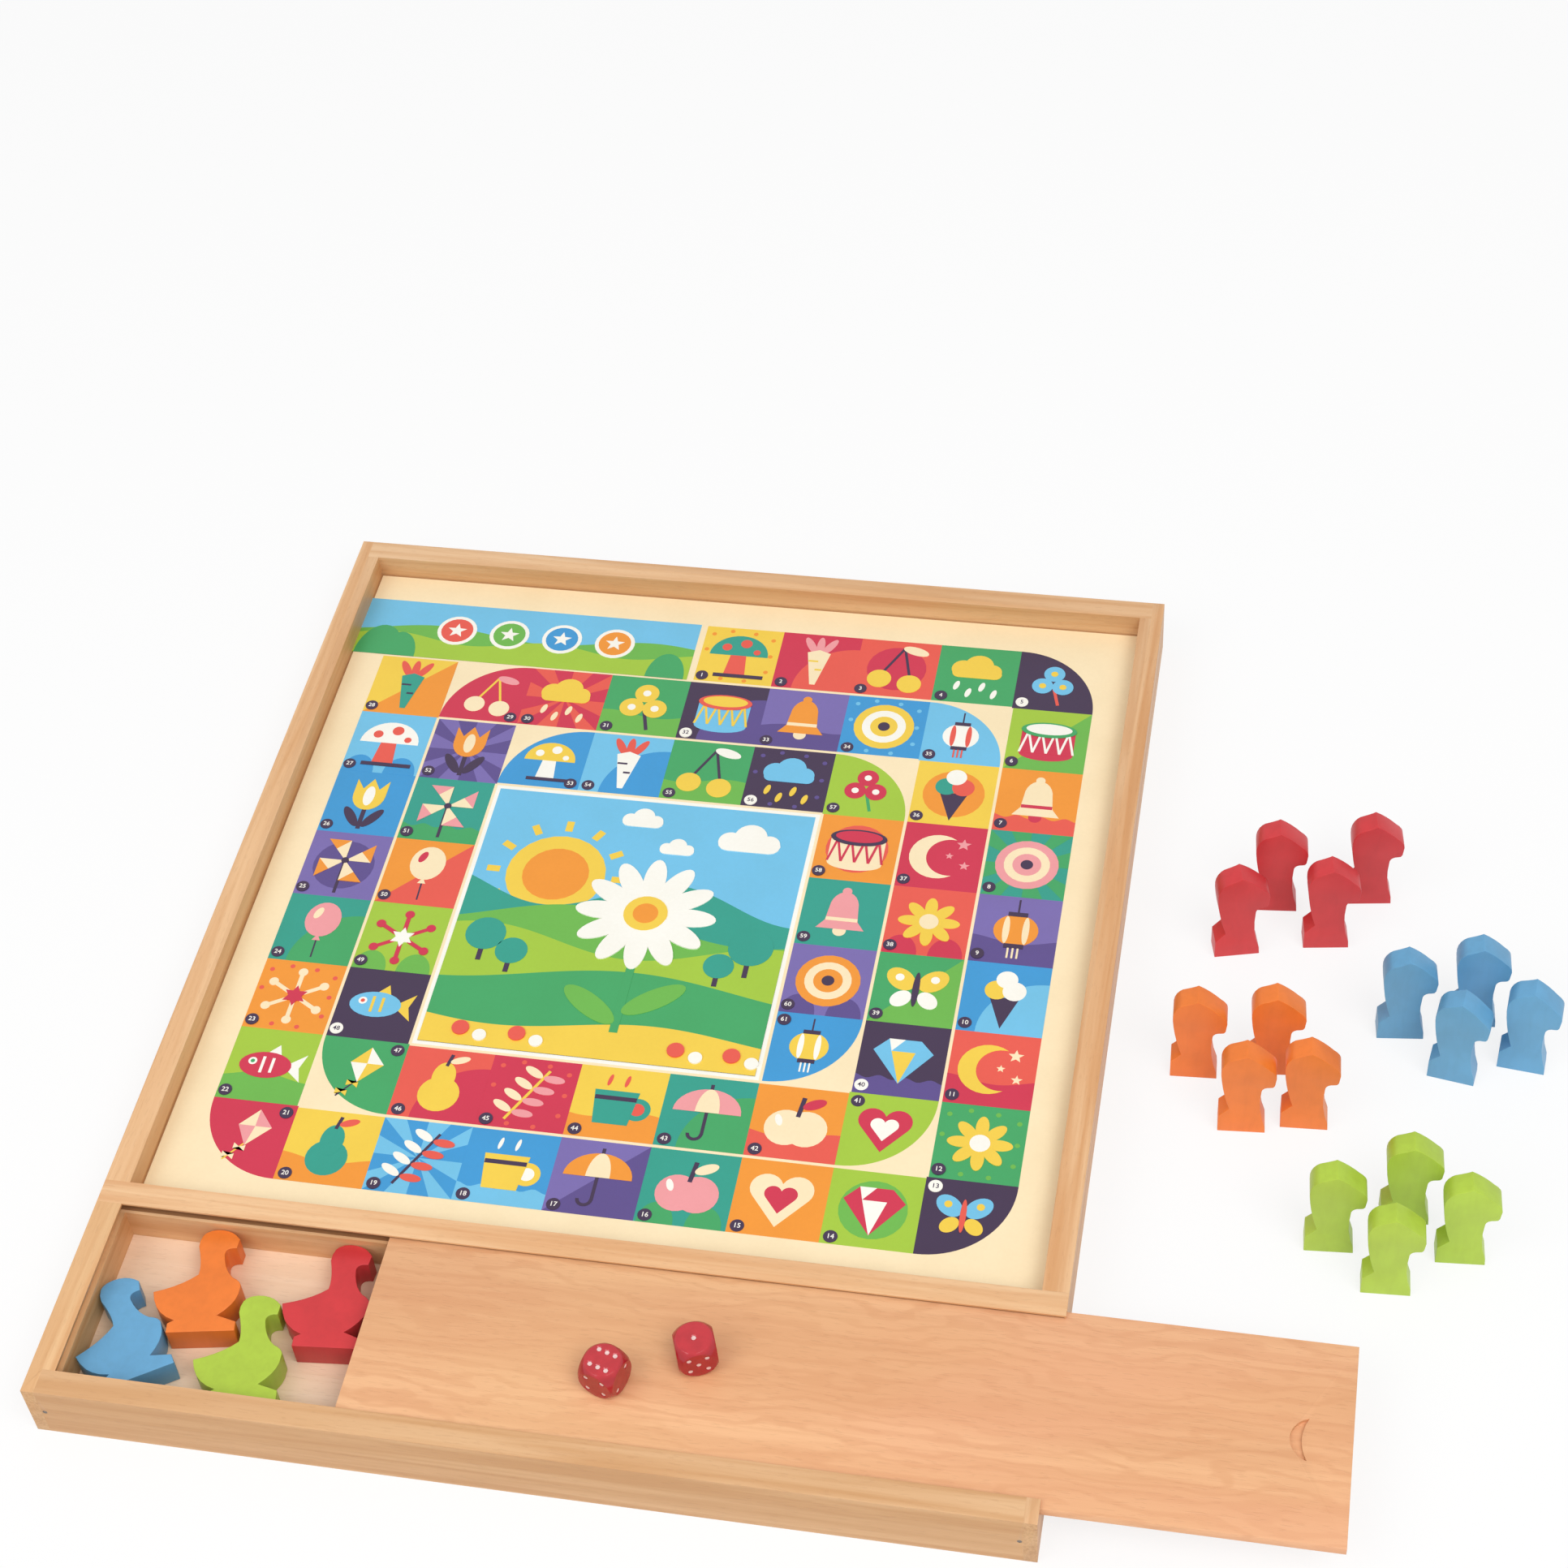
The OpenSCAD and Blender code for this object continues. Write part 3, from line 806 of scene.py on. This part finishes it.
# The inks of a motif on each ground
GROUNDS = {
    "sky": ("white", "coral", "aubergine"), "coral": ("yellow", "cream", "aubergine"),
    "lime": ("crimson", "white", "green"), "violet": ("orange", "cream", "aubergine"),
    "yellow": ("teal", "coral", "aubergine"), "green": ("yellow", "white", "aubergine"),
    "orange": ("cream", "crimson", "aubergine"), "blue": ("yellow", "white", "aubergine"),
    "crimson": ("cream", "rose", "yellow"), "aubergine": ("sky", "yellow", "coral"),
    "teal": ("rose", "cream", "aubergine"),
}
# How far the choice of ground and of motif moves on from one square to the next
GROUND_STEP = 4
MOTIF_STEP = 5


# -------- the spiral game

SQUARES_ACROSS = 9
START_SQUARES = 4
PICTURE_SQUARES = 4
PICTURE_CORNER = (2, 3)  # the column and row of the picture's top left square
ROUNDED_TURNS = 3  # the outer turns of the spiral have round corners
BORDER = 10.5 * MM
TURN_LINE = 0.5 * MM
MOTIF_SIZE = 1.12
CORNER_MOTIF_SIZE = 0.96
CORNER_MOTIF_SHIFT = 0.1
BADGE_PLACE = 0.78
BADGE_R = 0.155
BADGE_DIGITS = 1.6 * MM
HILL_PHASE = 99  # turns a square's place, in metres, into where its hill begins


def spiral_cells(count):
    """Cells (column, row) of a square grid from the top left corner inwards, row 0 at the top."""
    cells = []
    low, high = 0, count - 1
    while low <= high:
        cells += [(c, low) for c in range(low, high + 1)]
        cells += [(high, r) for r in range(low + 1, high + 1)]
        cells += [(c, high) for c in range(high - 1, low - 1, -1)]
        cells += [(low, r) for r in range(high - 1, low, -1)]
        low, high = low + 1, high - 1
    return cells


def tile_reach(joined, gap):
    """How far a square reaches to its right, left, top and bottom: less where it meets another turn."""
    return [1 - gap * (side not in joined) for side in ((1, 0), (-1, 0), (0, -1), (0, 1))]


def tile_outline(reach, rounded, gap):
    """A square's outline in pen units, round where a turn of the spiral has its corner."""
    right, left, top, bottom = reach
    radius = 2 - 2 * gap
    corners = ((1, 1, right, top), (-1, 1, -left, top), (-1, -1, -left, -bottom), (1, -1, right, -bottom))
    outline = []
    for i, (side_x, side_y, x, y) in enumerate(corners):
        if rounded == (side_x, side_y):
            outline += ring(20, radius, radius, x - side_x * radius, y - side_y * radius, 0, 90 * i, 90)
        else:
            outline.append((x, y))
    return outline


def hill(p, tone, reach, height, swing, waves, shift=0.0, steps=24):
    """Ground as far as the square reaches, up to a wavy line."""
    right, left, _, bottom = reach
    xs = [right - (right + left) * i / steps for i in range(steps + 1)]
    line = [(x, height + swing * math.sin(waves * x + shift)) for x in xs]
    p.shape(tone, [(-left, -bottom), (right, -bottom)] + line)


# Each backdrop draws in a tone over a square's ground, as far as the square reaches.

def hill_ground(p, tone, reach):
    hill(p, tone, reach, -0.3, 0.1, 2.6, p.x * HILL_PHASE)


def plain_ground(p, tone, reach):
    """Leaves the square as it is."""


def wave_ground(p, tone, reach):
    hill(p, tone, reach, -0.52, 0.05, 11)


def bush_ground(p, tone, reach):
    p.shapes(tone, [ring(16, 0.4, 0.55, x, -reach[3], 0, 0, 180) for x in (-0.55, 0.5)])


def quarter_ground(p, tone, reach):
    right, _, _, bottom = reach
    p.shape(tone, [(right, -bottom)] + ring(16, 1.5, 1.5, right, -bottom, 0, 90, 90))


def ray_ground(p, tone, reach):
    """Rays from the middle to every second stretch of the edge, of which each side has four."""
    right, left, top, bottom = reach
    corners = [(right, -bottom), (right, top), (-left, top), (-left, -bottom)]
    edge = []
    for (x0, y0), (x1, y1) in zip(corners, corners[1:] + corners[:1]):
        edge += [(x0 + (x1 - x0) * i / 4, y0 + (y1 - y0) * i / 4) for i in range(4)]
    p.shapes(tone, [[(0, 0), edge[i], edge[i + 1]] for i in range(0, len(edge), 2)])


def halo_ground(p, tone, reach):
    p.disc(tone, 0, 0, 0.74)


def slant_ground(p, tone, reach):
    right, left, top, bottom = reach
    p.shape(tone, [(-left, -bottom), (right, -bottom), (right, top)])


def dotted_ground(p, tone, reach):
    dots = ((-0.75, 0.7), (-0.3, 0.84), (0.3, 0.8), (0.78, 0.62), (0.8, 0.05), (-0.84, 0.15),
            (0.78, -0.5), (0.3, -0.86), (-0.3, -0.84))
    p.shapes(tone, [ring(10, 0.06, 0.06, x, y) for x, y in dots])


BACKDROPS = (hill_ground, dotted_ground, quarter_ground, halo_ground, plain_ground, bush_ground,
             slant_ground, wave_ground, ray_ground, hill_ground, quarter_ground)
BACKDROP_TONES = {
    "sky": "blue", "coral": "crimson", "lime": "leaf", "violet": "plum", "yellow": "orange",
    "green": "leaf", "orange": "coral", "blue": "sky", "crimson": "coral", "aubergine": "plum",
    "teal": "green",
}


def centre_picture(p):
    """A white daisy over hills under a low sun."""
    edge = 0.975
    p.shape("white", block(-1, -1, 1, 1))
    p.shape("sky", block(-edge, -edge, edge, edge))
    sun = (-0.48, 0.34)
    p.disc("yellow", *sun, 0.3)
    p.disc("orange", *sun, 0.2)
    for turn in range(0, 360, 30):
        p.bar("yellow", *polar(0.34, turn, *sun), *polar(0.42, turn, *sun), 0.045, rise=0)
    for tone, *line in (("teal", 0.22, 0.12, 4.2, 0.5), ("leaf", 0.02, 0.10, 3.1, 2.4),
                        ("lime", -0.16, 0.09, 3.6, 4.4), ("green", -0.42, 0.08, 2.6, 1.2),
                        ("yellow", -0.76, 0.05, 3.4, 0.4)):
        hill(p, tone, [edge] * 4, *line, steps=40)
    # The clouds, the trees and the small flowers stand apart and begin on the same level
    for x, y, size in ((0.62, 0.72, 0.9), (-0.05, 0.82, 0.6), (0.2, 0.62, 0.5)):
        for dx, dy, r in ((-0.13, 0, 0.08), (0.13, 0, 0.075), (0, 0.05, 0.11)):
            p.disc("white", x + dx * size, y + dy * size, r * size)
        p.shape("white", pill(6, x, y - 0.01, 0.14 * size, 0.07 * size))
        p.level -= 4
    for x, y, size in ((-0.78, -0.2, 1.0), (-0.6, -0.3, 0.8), (0.78, -0.12, 1.1), (0.62, -0.26, 0.75)):
        p.bar("aubergine", x, y - 0.16 * size, x, y, 0.03)
        p.disc("teal", x, y + 0.04 * size, 0.12 * size)
        p.level -= 2
    p.level += 2
    p.bar("green", 0.12, -0.78, 0.12, 0.05, 0.05)
    p.oval("leaf", 0.3, -0.52, 0.2, 0.07, 35)
    p.oval("leaf", -0.06, -0.6, 0.2, 0.07, 145)
    for turn in range(0, 360, 30):
        p.oval("white", *polar(0.26, turn, 0.12, 0.1), 0.16, 0.066, turn)
    p.disc("yellow", 0.12, 0.1, 0.13)
    p.disc("orange", 0.12, 0.1, 0.075)
    for x in (-0.75, -0.42, 0.5, 0.82):
        p.oval("coral", x, -0.86, 0.05, 0.05)
        p.oval("white", x + 0.12, -0.9, 0.04, 0.04)
        p.level -= 2


def start_strip(p, length):
    """The start: a meadow with one round place for each colour. The pen's square is one cell."""
    p.shape("sky", block(-1.9, -1, length, 1))
    hill(p, "leaf", (length, 1.9, 1, 1), 0.0, 0.18, -1.1, 8.1, 60)
    hill(p, "lime", (length, 1.9, 1, 1), -0.3, 0.16, -1.5, 12.7, 60)
    for x, r in ((-1.2, 0.62), (-0.7, 0.5), (length - 0.6, 0.5)):
        p.half_disc("green", x, -1, r, r * 1.7)
    for i, colour in enumerate(("coral", "leaf", "blue", "orange")):
        x = 0.7 + i * (length - 1.4) / 4
        p.disc("white", x, 0.05, 0.52)
        p.disc(colour, x, 0.05, 0.42)
        p.star("white", x, 0.05, 5, 0.26, 0.11)
        p.level -= 3


def print_spiral():
    """A spiral of numbered squares from the start strip to a picture in the middle."""
    low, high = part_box("spiral_sheet")
    paper = Print("spiral_print", high.z, 1)
    cell = (high.x - low.x - 2 * BORDER) / SQUARES_ACROSS
    half = cell / 2
    left = (low.x + high.x) / 2 - cell * SQUARES_ACROSS / 2
    top = (low.y + high.y) / 2 + cell * SQUARES_ACROSS / 2
    cells = spiral_cells(SQUARES_ACROSS)
    last = SQUARES_ACROSS ** 2 - PICTURE_SQUARES ** 2
    grounds = list(GROUNDS)
    last_column = SQUARES_ACROSS - 1
    gap = TURN_LINE / half
    for i in range(START_SQUARES, last):
        column, row = cells[i]
        beside = [cells[j] for j in (i - 1, i + 1) if START_SQUARES <= j < last]
        joined = [(c - column, r - row) for c, r in beside]
        depth = min(column, row, last_column - column, last_column - row)
        corners = (depth, last_column - depth)
        rounded = None
        if row in corners and column in corners and depth < ROUNDED_TURNS:
            rounded = (1 if column > last_column / 2 else -1, 1 if row < last_column / 2 else -1)
        side_x, side_y = rounded or (1, 1)
        number = i - START_SQUARES + 1
        ground = grounds[(GROUND_STEP * number + number // len(grounds)) % len(grounds)]
        pen = Pen(paper, left + (column + 0.5) * cell, top - (row + 0.5) * cell, half, 0)
        reach = tile_reach(joined, gap)
        pen.shape(ground, tile_outline(reach, rounded, gap))
        if rounded:
            x, y = pen.spot(-CORNER_MOTIF_SHIFT * side_x, -CORNER_MOTIF_SHIFT * side_y)
            scaled = Pen(paper, x, y, half * CORNER_MOTIF_SIZE, pen.level)
        else:
            BACKDROPS[number % len(BACKDROPS)](pen, BACKDROP_TONES[ground], reach)
            scaled = Pen(paper, pen.x, pen.y, half * MOTIF_SIZE, pen.level)
        MOTIFS[MOTIF_STEP * number % len(MOTIFS)](scaled, *GROUNDS[ground])
        badge, digits = ("white", "aubergine") if ground == "aubergine" else ("aubergine", "white")
        x, y = pen.spot(-BADGE_PLACE * side_x, -BADGE_PLACE * side_y)
        paper.film(badge, ring(20, BADGE_R * half, BADGE_R * half, x, y), scaled.level + 1)
        paper.number(digits, number, x, y, BADGE_DIGITS, scaled.level + 2)
    x, y = (place + PICTURE_SQUARES / 2 for place in PICTURE_CORNER)
    centre_picture(Pen(paper, left + x * cell, top - y * cell, half * PICTURE_SQUARES - TURN_LINE, 0))
    start = Pen(paper, left + half, top - half, half - TURN_LINE / 2, 0)
    start_strip(start, 2 * START_SQUARES - 1)
    paper.make("box")


# -------- the cross and circle game

SPOTS_ACROSS = 15
ARM = 7
SPOT_R = 0.37  # the sizes from here on are in steps from one spot to the next
SQUARE_HALF = 0.42
SQUARE_DIGITS = 0.5
HOME_PLACE = 4.55
HOME_R = 2.65
# Each home's two inks and the corner that it lies in
HOMES = (("leaf", "green", (-1, 1)), ("coral", "crimson", (1, 1)), ("yellow", "orange", (1, -1)),
         ("sky", "blue", (-1, -1)))


def print_cross():
    """A cross of spots and numbered squares with a round home in each corner, read from below."""
    low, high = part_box("cross_sheet")
    paper = Print("cross_print", low.z, -1)
    pitch = (high.x - low.x - 2 * BORDER) / SPOTS_ACROSS
    middle_x, middle_y = (low.x + high.x) / 2, (low.y + high.y) / 2
    star = Pen(paper, middle_x, middle_y, pitch, 1)

    def spot(pen, ink_name, x, y):
        pen.level = 0
        pen.disc(ink_name, x, y, SPOT_R)

    for arm, (pale, strong, (home_x, home_y)) in enumerate(HOMES):
        turn = -90 * arm * paper.up
        pen = Pen(paper, middle_x, middle_y, pitch, 0, turn)
        for step in range(1, ARM + 1):
            spot(pen, pale, -1, step)
            if step == ARM:
                spot(pen, pale, 0, step)
            else:
                pen.level = 0
                pen.shape(pale, block(-SQUARE_HALF, step - SQUARE_HALF, SQUARE_HALF, step + SQUARE_HALF))
                x, y = pen.spot(0, step)
                paper.number("aubergine", ARM - step, x, y, SQUARE_DIGITS * pitch, 2, turn)
            if step > 1:
                spot(pen, HOMES[(arm + 1) % len(HOMES)][0], 1, step)
        pen.level = 2
        pen.shape("aubergine", [(-1.16, ARM + 0.12), (-0.84, ARM + 0.12), (-1, ARM - 0.18)])
        x, y = star.spot(home_x * HOME_PLACE, home_y * HOME_PLACE)
        home = Pen(paper, x, y, HOME_R * pitch, 0)
        home.shape(strong, ring(72, 1))
        home.shape(pale, ring(60, 0.86))
        home.shape(strong, ring(60, 0.82))
        # The four places stand apart and begin on the same level
        for place in (45, 135, 225, 315):
            x, y = polar(0.42, place)
            home.disc("cream", x, y, 0.23)
            home.disc(pale, x, y, 0.17)
            home.level -= 2
        home.level += 2
        home.star("cream", 0, 0, 8, 0.2, 0.09)
    star.star("coral", 0, 0, 4, 0.72, 0.2, 45)
    star.star("aubergine", 0, 0, 4, 0.86, 0.2, 90)
    star.star("sky", 0, 0, 4, 0.4, 0.12, 45)
    paper.make("box")


# -------- dice pips

DIE_SIZE = 11 * MM
DIE_TURNS = {"die_1": (72, 0), "die_2": (22, 180)}  # about the vertical, then the die's own X
PIP_SPAN = 5 * MM
PIP_R = 0.95 * MM
PIP_PAINT_R = 0.64 * MM
PIP_DEPTH = 0.35 * MM
PAINT_TOP = 0.07 * MM  # the paint's two skins, measured from the dimple's own face
PAINT_UNDER = -0.03 * MM
PAINT_RIM_DROP = 0.6  # how much of the paint's thickness is gone at its rim
PAINT_AROUND = 20
PAINT_STEPS = 5
ONE = [(0, 0)]
TWO = [(-1, -1), (1, 1)]
THREE = ONE + TWO
FOUR = TWO + [(-1, 1), (1, -1)]
FIVE = ONE + FOUR
SIX = FOUR + [(-1, 0), (1, 0)]
DIE_FACES = ((SIX, "X", 0), (ONE, "X", 180), (TWO, "X", 90), (FIVE, "X", -90), (THREE, "Y", 90),
             (FOUR, "Y", -90))


def make_pips(name, paint):
    """White paint that lines the die's dimples: a thin closed bowl in each of them."""
    low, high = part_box(name)
    turn, roll = DIE_TURNS[name]
    pose = Matrix.Translation((low + high) / 2) @ rotation(turn, "Z") @ rotation(roll, "X")
    bowl_r = (PIP_R ** 2 + PIP_DEPTH ** 2) / (2 * PIP_DEPTH)
    verts, faces = [], []
    around, steps = PAINT_AROUND, PAINT_STEPS

    def bowl(place, lift):
        """Adds one skin of the bowl, from its middle to its rim, and returns its first vertex."""
        first = len(verts)
        verts.append(place @ Vector((0, 0, lift - PIP_DEPTH)))
        for step in range(1, steps + 1):
            out = step / steps
            r = PIP_PAINT_R * out
            z = bowl_r - PIP_DEPTH - math.sqrt(bowl_r ** 2 - r ** 2)
            z += lift * (1 - PAINT_RIM_DROP * out ** 4)
            verts.extend(place @ Vector((x, y, z)) for x, y in ring(around, r))
        return first

    def skin(first, flip):
        for i in range(around):
            j = (i + 1) % around
            strip = [[first, first + 1 + i, first + 1 + j]]
            for step in range(steps - 1):
                a, b = first + 1 + step * around, first + 1 + (step + 1) * around
                strip.append([a + i, b + i, b + j, a + j])
            faces.extend(face[::-1] if flip else face for face in strip)

    for places, axis, angle in DIE_FACES:
        side = pose @ rotation(angle, axis)
        for u, v in places:
            place = side @ Matrix.Translation((u * PIP_SPAN / 2, v * PIP_SPAN / 2, DIE_SIZE / 2))
            upper, lower = bowl(place, PAINT_TOP), bowl(place, PAINT_UNDER)
            skin(upper, False)
            skin(lower, True)
            rim = 1 + (steps - 1) * around
            for i in range(around):
                j = (i + 1) % around
                faces.append([lower + rim + i, lower + rim + j, upper + rim + j, upper + rim + i])
    mesh = bpy.data.meshes.new(name + "_pips")
    mesh.from_pydata([v.to_tuple() for v in verts], [], faces)
    mesh.materials.append(paint)
    mesh.shade_smooth()
    obj = add_object(name + "_pips", mesh)
    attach(obj, name)


# -------- putting it together

RAIL_ROUNDING = 0.75 * MM
LID_ROUNDING = 0.25 * MM
GOOSE_ROUNDING = 0.8 * MM
HORSE_ROUNDING = 1.1 * MM
DIE_ROUNDING = 0.6 * MM
RAIL_STREAK = 0.75
LID_FIGURE = 0.42
HORSES = 4
# Each stain on the flat faces, and on the sawn edges of the geese, which are a little darker there as
# painted shade
STAINS_WITH_SHADED_EDGES = {
    "red": ("#D6373C", "#C83238"), "blue": ("#68A8D2", "#5C9AC4"),
    "orange": ("#F68231", "#E6742B"), "green": ("#B5D244", "#A6C440"),
}
# Each rail's light and dark tone, the axis of its grain and a step that gives it its own figure
RAILS = {
    "left_rail": ("#F0C698", "#D49A64", 1, 0.11), "right_rail": ("#ECC396", "#CE9058", 1, 0.37),
    "back_rail": ("#F2CBA0", "#D49E6A", 0, 0.53), "front_rail": ("#EBC092", "#CC9662", 0, 0.71),
    "divider_rail": ("#F5CA9B", "#DBA06C", 0, 0.97), "tray_left_rail": ("#F0C694", "#D69C66", 1, 0.23),
    "tray_right_rail": ("#ECC092", "#CE9664", 1, 0.61),
}
# Painted shade: the rails' sides are a little darker and browner than their tops, and the dice's sides
# are darker still
UPRIGHT_SHADE = (0.88, 0.86, 0.80, 1)
DIE_UPRIGHT_SHADE = (0.74, 0.56, 0.60, 1)
DIE_ROUGHNESS = 0.14
PIP_ROUGHNESS = 0.35
# The parts of the lid's grooves that get painted shade, measured from the lid's edge, its faces and the
# box's two sides
GROOVE_DEEP = 1.3 * MM
GROOVE_LIP = 3.0 * MM
GROOVE_PLAY = 0.6 * MM
GROOVE_FROM_LEFT = 4 * MM
GROOVE_FROM_RIGHT = 0.5 * MM
GROOVE_SIDE = {"divider_rail": 1, "front_rail": -1}  # the side of the lid that a rail's groove takes
LEVEL_NORMAL = 0.01  # a face whose normal has less of Z than this stands upright
FRONT_NORMAL = 0.8  # and with more of Y than this it looks to the front or the back


def turn_of(name):
    """The horizontal direction that a standing horse's flat faces look in."""
    best, direction = 0, Vector((0, 1, 0))
    for polygon in nodes[name].data.polygons:
        normal = polygon.normal
        if abs(normal.z) < LEVEL_NORMAL and abs(normal.y) > FRONT_NORMAL and polygon.area > best:
            best, direction = polygon.area, normal.copy()
    return direction


def groove_boxes(side):
    """The boxes of painted shade in the deep end and the lip of the groove at the lid's front edge, -1,
    or its back edge, 1.
    """
    low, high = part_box("sliding_lid")
    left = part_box("tray_left_rail")[0].x + GROOVE_FROM_LEFT
    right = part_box("right_rail")[1].x - GROOVE_FROM_RIGHT
    edge = high.y if side > 0 else low.y
    boxes = []
    for reach, bottom in ((GROOVE_DEEP, low.z - GROOVE_PLAY), (GROOVE_LIP, high.z)):
        near, far = sorted((edge - side * reach, edge + side * GROOVE_PLAY))
        boxes.append((Vector((left, near, bottom)), Vector((right, far, high.z + GROOVE_PLAY))))
    return boxes


def dress_frame():
    for name, looks in RAILS.items():
        painted_shade_boxes = groove_boxes(GROOVE_SIDE[name]) if name in GROOVE_SIDE else ()
        dress(name, wood(name + "_beech", *looks, RAIL_STREAK, side_shade=UPRIGHT_SHADE, painted_shade_boxes=painted_shade_boxes))
        round_edges(name, RAIL_ROUNDING, weights=RAIL_EDGES)
    floor_low, floor_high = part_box("tray_floor")
    veneer = ("#CC8058", (floor_low.z + floor_high.z) / 2)
    dress("divider_dowels", wood("dowel_beech", "#E9BC8E", "#D6A576", 1))
    dress("game_board", wood("board_edge", "#C79A6A", "#A97B4E", 0))
    dress("tray_floor", wood("tray_plywood", "#F9DDC2", "#EBC9A8", 0, 0.4, underside=veneer))
    dress("sliding_lid", wood("lid_plywood", "#F4BE8E", "#DB9C6E", 0, 0.8, figure=LID_FIGURE))
    round_edges("sliding_lid", LID_ROUNDING, 2)
    dress("corner_brads", metal("brad_steel", "#8A8178"))
    dress("spiral_sheet", INK_MATERIALS["cream"])
    dress("cross_sheet", INK_MATERIALS["cream"])


def dress_pieces():
    for colour, (face, edge) in STAINS_WITH_SHADED_EDGES.items():
        name = "goose_" + colour
        dress(name, stained(name, face, edge, UP))
        round_edges(name, GOOSE_ROUNDING, 4)
        for i in range(1, HORSES + 1):
            name = f"horse_{colour}_{i}"
            dress(name, stained(name, face, face, turn_of(name)))
            round_edges(name, HORSE_ROUNDING, 4)
    die_red = lacquer("die_red", "#C82D37", DIE_ROUGHNESS, side_shade=DIE_UPRIGHT_SHADE)
    for name in DIE_TURNS:
        dress(name, die_red)
        round_edges(name, DIE_ROUNDING, 4, die_edge_group(name))
        make_pips(name, PIP_WHITE)


INK_MATERIALS = {name: ink("ink_" + name, code) for name, code in INKS.items()}
PIP_WHITE = lacquer("pip_white", "#F2D2CE", PIP_ROUGHNESS)

bpy.context.scene.view_settings.view_transform = "Standard"
make_camera()
make_world()
for lamp in LAMPS:
    make_lamp(*lamp)
bpy.ops.mesh.primitive_plane_add(size=FLOOR_SIZE)
floor = bpy.context.object
floor.name = "floor"
floor.data.materials.append(plain_floor())

dress_frame()
dress_pieces()
print_spiral()
print_cross()
